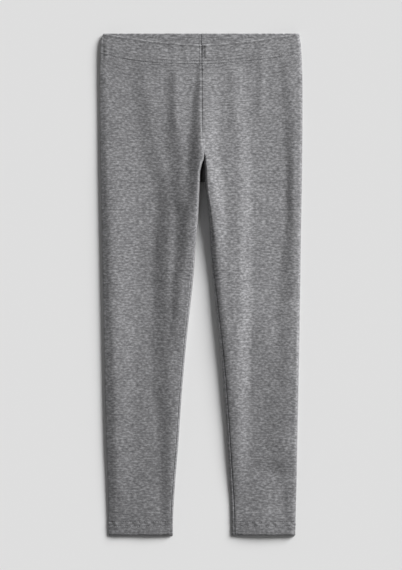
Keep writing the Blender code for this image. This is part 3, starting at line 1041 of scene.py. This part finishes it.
@dataclass(frozen=True)
class MelangeJersey:
    """Grey melange jersey: dark and light fibres in short flecks along the courses, with fine wales.

    Lengths are in mm, and the relief's depth is in m. The colour carries painted light falloff. It is painted
    brighter towards +X, the key light's side, between the two values "across". It is painted darker towards
    the hems by the values "along" at shares of the length.
    """

    name: str = "grey_melange_jersey"
    tone: float = 0.97
    # Painted light falloff from the -X side to the brighter +X side, where the key light is.
    across: tuple[float, float] = (0.955, 1.095)
    # Painted light falloff down the length: the colour is painted darker towards the hems.
    along: tuple[tuple[float, float], ...] = (
        (0.0, 1.05),
        (0.2, 1.035),
        (0.55, 1.02),
        (0.78, 0.9),
        (0.92, 0.83),
        (1.0, 0.83),
    )
    dark: tuple[float, float, float] = (0.115, 0.115, 0.12)
    mid: tuple[float, float, float] = (0.222, 0.221, 0.228)
    light: tuple[float, float, float] = (0.40, 0.40, 0.412)
    contrast: float = 2.7
    wale: float = 1.15
    wale_share: float = 0.12
    relief: float = 0.35
    relief_depth: float = 0.0004
    roughness: float = 0.93
    specular: float = 0.2
    sheen: float = 0.25
    sheen_roughness: float = 0.5
    grain: float = 0.6
    falloff_half_width: float = 0.09
    flecks: tuple[FleckLayer, ...] = table(
        FleckLayer,
        (4.6, 2.4, 2.5, 0.6),
        (11.0, 2.6, 2.0, 0.3),
        (28.0, 20.0, 1.0, 0.1),
    )

    def shade(self, colour: tuple[float, float, float]) -> tuple[float, float, float, float]:
        """A colour in this cloth's tone."""
        return (*(part * self.tone for part in colour), 1.0)

    def fleck_value(self, graph: Graph, place: bpy.types.NodeSocket) -> bpy.types.NodeSocket:
        """The flecks as one value round 0.5.

        Args:
            graph: the material's nodes.
            place: the place in the cut, in mm.

        Returns:
            The value's socket.
        """
        total: object = 0.0
        for layer in self.flecks:
            scale = (1 / layer.length, 1 / layer.height, 1.0)
            scaled = graph.add("ShaderNodeMapping", {"Vector": place, "Scale": scale}, vector_type="POINT")
            noise = graph.add(
                "ShaderNodeTexNoise",
                {"Vector": scaled.outputs[0], "Scale": 1.0, "Detail": layer.detail, "Roughness": self.grain},
                noise_dimensions="2D",
            )
            part = graph.maths("MULTIPLY", noise.outputs[0], layer.weight)
            total = graph.maths("ADD", total, part)
        return total

    def painted_light_falloff(self, graph: Graph) -> bpy.types.NodeSocket:
        """The painted light falloff: a factor that paints the cloth brighter towards +X and the waist, and
        darker towards -X and the hems.

        Args:
            graph: the material's nodes.

        Returns:
            The socket of the factor.
        """
        spot = graph.add("ShaderNodeTexCoord")
        parts = graph.add("ShaderNodeSeparateXYZ", {0: spot.outputs["Object"]})
        limits = {"From Min": -self.falloff_half_width, "From Max": self.falloff_half_width}
        levels = {"To Min": self.across[0], "To Max": self.across[1]}
        sides = {"Value": parts.outputs[0], **limits, **levels}
        across = graph.add("ShaderNodeMapRange", sides, interpolation_type="SMOOTHSTEP")
        half = LENGTH * MM / 2
        ends = {"Value": parts.outputs[1], "From Min": half, "From Max": -half}
        down = graph.add("ShaderNodeMapRange", ends)
        ramp = graph.add("ShaderNodeValToRGB", {0: down.outputs[0]})
        ramp.color_ramp.interpolation = "EASE"
        stops = ramp.color_ramp.elements
        for place, tone in self.along[1:-1]:
            stops.new(place)
        for stop, (place, tone) in zip(stops, self.along, strict=True):
            stop.position = place
            stop.color = (tone, tone, tone, 1.0)
        return graph.maths("MULTIPLY", across.outputs[0], ramp.outputs[0])

    def material(self) -> bpy.types.Material:
        """The cloth's material.

        Returns:
            A procedural material in the cut's own coordinates.
        """
        made, graph, surface = new_material(self.name)
        cut = graph.add("ShaderNodeUVMap", uv_map="cut")
        to_mm = {0: cut.outputs[0], 1: (1 / MM, 1 / MM, 0.0)}
        place = graph.add("ShaderNodeVectorMath", to_mm, operation="MULTIPLY").outputs[0]
        centred = graph.maths("SUBTRACT", self.fleck_value(graph, place), 0.5)
        spread = graph.maths("ADD", graph.maths("MULTIPLY", centred, self.contrast), 0.5)
        ramp = graph.add("ShaderNodeValToRGB", {0: spread})
        ramp.color_ramp.elements[0].color = self.shade(self.dark)
        ramp.color_ramp.elements[1].color = self.shade(self.light)
        ramp.color_ramp.elements.new(0.5).color = self.shade(self.mid)
        # The fleck colour is multiplied by the painted light falloff.
        factors = {0: ramp.outputs[0], 1: self.painted_light_falloff(graph)}
        painted_light_colour = graph.add("ShaderNodeVectorMath", factors, operation="MULTIPLY")
        parts = graph.add("ShaderNodeSeparateXYZ", {0: place})
        wales = graph.maths("SINE", graph.maths("MULTIPLY", parts.outputs[0], 2 * math.pi / self.wale))
        relief = graph.maths("ADD", graph.maths("MULTIPLY", wales, self.wale_share), spread)
        height = {"Height": relief, "Strength": self.relief, "Distance": self.relief_depth}
        bump = graph.add("ShaderNodeBump", height)
        colours = {"Base Color": painted_light_colour.outputs[0], "Normal": bump.outputs[0]}
        lustre = {"Roughness": self.roughness, "Specular IOR Level": self.specular}
        nap = {"Sheen Weight": self.sheen, "Sheen Roughness": self.sheen_roughness}
        graph.feed(surface, {**colours, **lustre, **nap})
        return made


@dataclass(frozen=True)
class SewingThread:
    """Grey sewing thread with a soft lustre, whose tone varies between two shares of its colour."""

    name: str = "grey_sewing_thread"
    colour: tuple[float, float, float] = (0.31, 0.31, 0.32)
    tones: tuple[tuple[float, float], ...] = ((0.3, 0.6), (0.7, 1.3))
    grain: float = 700.0
    roughness: float = 0.6
    sheen: float = 0.2

    def material(self) -> bpy.types.Material:
        """The thread's material.

        Returns:
            A material whose tone varies along the thread.
        """
        made, graph, surface = new_material(self.name)
        spot = graph.add("ShaderNodeTexCoord")
        grain = {"Vector": spot.outputs["Object"], "Scale": self.grain, "Detail": 2.0}
        noise = graph.add("ShaderNodeTexNoise", grain)
        ramp = graph.add("ShaderNodeValToRGB", {0: noise.outputs[0]})
        for stop, (place, share) in zip(ramp.color_ramp.elements, self.tones, strict=True):
            stop.position = place
            stop.color = (*(part * share for part in self.colour), 1.0)
        lustre = {"Roughness": self.roughness, "Sheen Weight": self.sheen}
        graph.feed(surface, {"Base Color": ramp.outputs[0], **lustre})
        return made


@dataclass(frozen=True)
class CoverStitch:
    """Twin needle rows all round a casing or a hem, made stitch by stitch, each row in a shallow dent.

    Sizes are in mm. The profile gives a stitch's thickness at shares of its length, as shares of its radius.
    """

    downs: tuple[float, ...]
    pitch: float = 3.3
    length: float = 2.3
    radius: float = 0.33
    proud: float = 0.12
    dents: tuple[float, ...] = (0.45, 0.75)
    dent_width: float = 0.75
    uneven: float = 0.45
    uneven_lengths: tuple[float, float] = (31.0, 47.0)
    ruffle: float = 0.1
    ruffle_lengths: tuple[float, float] = (9.5, 14.5)
    ruffle_ends: tuple[float, float] = (4.0, 16.0)
    clear_of_seam: float = 1.6
    look_ahead: float = 0.5
    sides: int = 6
    profile: tuple[tuple[float, float], ...] = ((0.0, 0.4), (0.18, 0.9), (0.5, 1.0), (0.82, 0.9), (1.0, 0.4))

    def pull(self, travelled: np.ndarray) -> np.ndarray:
        """How hard the thread pulls along the course, which changes from place to place."""
        waves = [np.sin(2 * math.pi * travelled / length) for length in self.uneven_lengths]
        return 1 + self.uneven * waves[0] * waves[1]

    def lift(self, sheet: Sheet) -> np.ndarray:
        """How the rows move the cloth: a dent along each, and between them a ruffle where it is drawn in.

        Args:
            sheet: the cloth.

        Returns:
            The lift in mm, negative in the dents.
        """
        rows = sheet.downs[:, None]
        waves = sum(np.sin(2 * math.pi * sheet.from_start / length) for length in self.ruffle_lengths)
        middle = sum(self.downs) / len(self.downs)
        ruffle = self.ruffle * waves * hump(rows - middle, NEEDLE_GAP)
        ruffle = ruffle * ease(sheet.from_start, *self.ruffle_ends)
        dents = zip(self.downs, self.dents, strict=True)
        dent = sum(depth * hump(rows - down, self.dent_width) for down, depth in dents)
        return ruffle - dent * self.pull(sheet.from_start)

    def course(self, form: LegForm, down: float) -> tuple[np.ndarray, np.ndarray]:
        """One needle row's course round the cloth.

        Args:
            form: the half that it is sewn on.
            down: the row's place down.

        Returns:
            Points on the cloth's outer face in mm, and the outward normals there.
        """
        sheet = form.sheet([down - self.dent_width, down, down + self.dent_width])
        away = np.minimum(sheet.from_start[1], sheet.from_end[1])
        kept = away > self.clear_of_seam
        return sheet.points[1][kept], sheet.normals()[1][kept]

    def add_rows(self, maker: MeshMaker, form: LegForm) -> None:
        """Adds this half's stitches to a mesh.

        Args:
            maker: the mesh.
            form: the half that they are sewn on.
        """
        turns = np.linspace(0, 2 * math.pi, self.sides, endpoint=False)[:, None]
        for down, depth in zip(self.downs, self.dents, strict=True):
            points, normals = self.course(form, down)
            steps = np.linalg.norm(np.diff(points, axis=0), axis=1)
            travelled = np.concatenate([[0.0], np.cumsum(steps)])
            for start in np.arange(0.0, travelled[-1] - self.length, self.pitch):
                rings = []
                for share, thick in self.profile:
                    place = start + share * self.length
                    spots = (place, place + self.look_ahead)
                    course = [np.interp(spots, travelled, points[:, k]) for k in range(3)]
                    centre, beyond = np.stack(course, axis=1)
                    up = np.array([np.interp(place, travelled, normals[:, k]) for k in range(3)])
                    up /= np.linalg.norm(up)
                    side = np.cross(up, beyond - centre)
                    side /= max(np.linalg.norm(side), TINY)
                    ring = centre - up * (depth * self.pull(place + self.clear_of_seam) - self.proud)
                    ring = ring + self.radius * thick * (np.cos(turns) * up + np.sin(turns) * side)
                    ring[:, 2] = np.maximum(ring[:, 2], 0.0)
                    rings.append(ring)
                maker.add_tube(np.array(rings))

    def build(self, name: str, forms: Sequence[LegForm], thread: bpy.types.Material) -> bpy.types.Object:
        """Makes the stitches.

        Args:
            name: the piece's name.
            forms: the halves that they are sewn on.
            thread: their material.

        Returns:
            All the rows' stitches as one piece.
        """
        maker = MeshMaker(name)
        for form in forms:
            self.add_rows(maker, form)
        return maker.build(thread)


@dataclass
class Leg:
    """One leg piece of jersey, from under the casing to the hem.

    The deep line of the rise at the front passes into the inseam's between the places "rise_ends".
    """

    form: LegForm
    finish: bpy.types.Material
    row_step: float = 2.4
    seam: Groove = Groove()
    rise_ends: tuple[float, float] = (170.0, 186.0)

    def downs(self) -> list[float]:
        """Places down of the rows, with one on each side of the crotch point.

        Returns:
            The places, from the casing to the hem.
        """
        first, last = BAND_HEIGHT, LENGTH - HEM_HEIGHT - SEAM_GAP
        count = round((CROTCH_DOWN - first) / self.row_step)
        above = np.linspace(first + SUPPORT, CROTCH_DOWN - SUPPORT, count)
        below = np.linspace(CROTCH_DOWN, last - SUPPORT, round((last - CROTCH_DOWN) / self.row_step))
        return [first, *above, *below, last]

    def build(self) -> bpy.types.Object:
        """Makes the leg.

        Returns:
            The leg's cloth.
        """
        sheet = self.form.sheet(self.downs())
        below = ease(sheet.downs, *self.rise_ends)[:, None]
        rise, inseam = self.form.rise_groove.lift(sheet.from_start), self.seam.lift(sheet.from_start)
        sheet.raise_by(rise * (1 - below) + inseam * below + self.seam.lift(sheet.from_end))
        maker = MeshMaker(f"leg_cloth_{self.form.side.word}")
        maker.add_wall(*Wall(LEG_WALL).close(sheet, roll_top=False, roll_bottom=False), self.form.out)
        return maker.build(self.finish)


@dataclass
class Hem:
    """The turned-up end of a leg, a ring of doubled cloth with a rolled lower edge."""

    form: LegForm
    finish: bpy.types.Material
    needles: CoverStitch
    seam: Groove = Groove()
    row_count: int = 34
    fall_width: float = 2.4
    fall_share: float = 0.4
    bends: tuple[float, ...] = (1.0, 0.7, 0.45, 0.25, 0.1, 0.0)

    def settle(self, sheet: Sheet) -> None:
        """Lets the front's end fall in a round."""
        near = np.clip((sheet.downs[-1] - sheet.downs) / self.fall_width, 0.0, 1.0)[:, None]
        sheet.points[..., 2] *= 1 - self.fall_share * (1 - np.sqrt(1 - (1 - near) ** 2))

    def build(self) -> bpy.types.Object:
        """Makes the hem.

        Returns:
            The hem's cloth.
        """
        start, end = LENGTH - HEM_HEIGHT, LENGTH - HEM_WALL / 2
        bends = end - self.fall_width * np.array(self.bends)
        flat = np.linspace(start + SUPPORT, bends[0], self.row_count - len(bends) + 1)
        sheet = self.form.sheet([start, *flat[:-1], *bends])
        self.seam.sink(sheet)
        sheet.raise_by(self.needles.lift(sheet))
        self.settle(sheet)
        maker = MeshMaker(f"hem_cloth_{self.form.side.word}")
        maker.add_wall(*Wall(HEM_WALL).close(sheet, roll_top=False, roll_bottom=True), self.form.out)
        return maker.build(self.finish)


@dataclass
class WaistCasing:
    """The waist casing over its elastic, a ring of both halves with a rolled upper edge."""

    forms: tuple[LegForm, LegForm]
    finish: bpy.types.Material
    needles: CoverStitch
    seam: Groove = Groove(depth=1.7, width=0.8)
    row_count: int = 38
    edge_swell: float = 0.5
    edge_swell_width: float = 1.6

    def build(self) -> bpy.types.Object:
        """Makes the casing.

        Returns:
            The casing's cloth.
        """
        maker = MeshMaker("waist_casing_cloth")
        for form in self.forms:
            end = BAND_HEIGHT - SEAM_GAP
            sheet = form.sheet([*np.linspace(BAND_WALL / 2, end - SUPPORT, self.row_count), end])
            self.seam.sink(sheet)
            edge = self.edge_swell * hump(sheet.downs - BAND_WALL / 2, self.edge_swell_width)
            sheet.raise_by(self.needles.lift(sheet) + edge[:, None])
            maker.add_wall(*Wall(BAND_WALL).close(sheet, roll_top=True, roll_bottom=False), form.out)
        return maker.build(self.finish)


@dataclass(frozen=True)
class Studio:
    """A pale floor, a soft key light from the upper right, a low fill and a camera straight above.

    The floor's sizes and the camera's reach are in m, the camera's other sizes in mm and angles in degrees.
    """

    floor_half: float = 6.0
    floor_tone: float = 0.8
    floor_drop: float = 0.0001
    key_azimuth: float = 44.0
    key_elevation: float = 27.5
    key_strength: float = 4.88
    key_angle: float = 31.0
    fill: float = 0.4
    ceiling_from: float = 0.5
    ceiling_to: float = 0.9
    centre_x: float = -0.05
    centre_y: float = -0.7
    view_height: float = 809.4
    distance: float = 4000.0
    sensor: float = 36.0
    focus_height: float = 4.0
    farthest: float = 100.0

    def build_floor(self) -> None:
        """Makes the floor."""
        half, low = self.floor_half, -self.floor_drop
        mesh = bpy.data.meshes.new("studio_floor")
        corners = [(-half, -half, low), (half, -half, low), (half, half, low), (-half, half, low)]
        mesh.from_pydata(corners, [], [(0, 1, 2, 3)])
        floor = put("studio_floor", mesh)
        paper, graph, surface = new_material("pale_paper")
        tone = (self.floor_tone, self.floor_tone, self.floor_tone, 1.0)
        graph.feed(surface, {"Base Color": tone, "Roughness": 1.0, "Specular IOR Level": 0.0})
        mesh.materials.append(paper)

    def build_lights(self) -> None:
        """Makes the key light and the fill, which fades out towards straight above."""
        key = bpy.data.lights.new("key", "SUN")
        key.energy = self.key_strength
        key.angle = math.radians(self.key_angle)
        lamp = put("key", key)
        lamp.rotation_euler = (0.0, math.radians(90 - self.key_elevation), math.radians(self.key_azimuth))
        world = bpy.data.worlds.new("studio")
        world.use_nodes = True
        graph = Graph(world.node_tree)
        spot = graph.add("ShaderNodeTexCoord")
        parts = graph.add("ShaderNodeSeparateXYZ", {0: spot.outputs["Generated"]})
        limits = {"From Min": self.ceiling_from, "From Max": self.ceiling_to}
        levels = {"Value": parts.outputs[2], **limits, "To Min": self.fill, "To Max": 0.0}
        share = graph.add("ShaderNodeMapRange", levels, interpolation_type="SMOOTHSTEP")
        sky = world.node_tree.nodes["Background"]
        graph.feed(sky, {"Color": (1.0, 1.0, 1.0, 1.0), "Strength": share.outputs[0]})
        bpy.context.scene.world = world

    def build_camera(self) -> None:
        """Makes the camera, which looks straight down."""
        lens = bpy.data.cameras.new("camera")
        lens.sensor_width = self.sensor
        lens.lens = self.sensor * self.distance / self.view_height
        lens.clip_end = self.farthest
        camera = put("camera", lens)
        above = self.distance + self.focus_height
        camera.location = (self.centre_x * MM, self.centre_y * MM, above * MM)
        bpy.context.scene.camera = camera
        bpy.context.scene.view_settings.view_transform = "Standard"


def report(*pieces: bpy.types.Object) -> None:
    """Logs each piece's name and number of faces.

    Args:
        pieces: the pieces.
    """
    for piece in pieces:
        LOG.info("%s: %d faces", piece.name, len(piece.data.polygons))


def main() -> None:
    """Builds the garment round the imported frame, piece by piece."""
    logging.basicConfig(level=logging.INFO, format="%(name)s: %(message)s")
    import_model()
    right, left = both_forms()
    jersey = MelangeJersey().material()
    casing_finish = MelangeJersey(name="grey_melange_casing", tone=0.955).material()
    hem_finish = MelangeJersey(name="grey_melange_hem", tone=0.94).material()
    thread = SewingThread().material()
    band_rows = CoverStitch((BAND_HEIGHT - NEEDLE_INSET - NEEDLE_GAP, BAND_HEIGHT - NEEDLE_INSET))
    hem_row = LENGTH - HEM_HEIGHT + NEEDLE_INSET
    hem_rows = CoverStitch((hem_row, hem_row + HEM_NEEDLE_GAP), dents=(0.35, 0.35), ruffle=0.3)

    casing = WaistCasing((right, left), casing_finish, band_rows).build()
    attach(casing, "root")
    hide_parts("waistband")
    band_stitches = band_rows.build("waist_cover_stitches", (right, left), thread)
    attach(band_stitches, "root")
    report(casing, band_stitches)

    for form in (right, left):
        word = form.side.word
        leg = Leg(form, jersey).build()
        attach(leg, "root")
        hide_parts(f"leg_{word}_hip", f"leg_{word}_thigh", f"leg_{word}_calf")
        hem = Hem(form, hem_finish, hem_rows).build()
        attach(hem, "root")
        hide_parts(f"hem_{word}")
        hem_stitches = hem_rows.build(f"hem_cover_stitches_{word}", (form,), thread)
        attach(hem_stitches, "root")
        report(leg, hem, hem_stitches)

    studio = Studio()
    studio.build_floor()
    studio.build_lights()
    studio.build_camera()


if __name__ == "__main__":
    main()
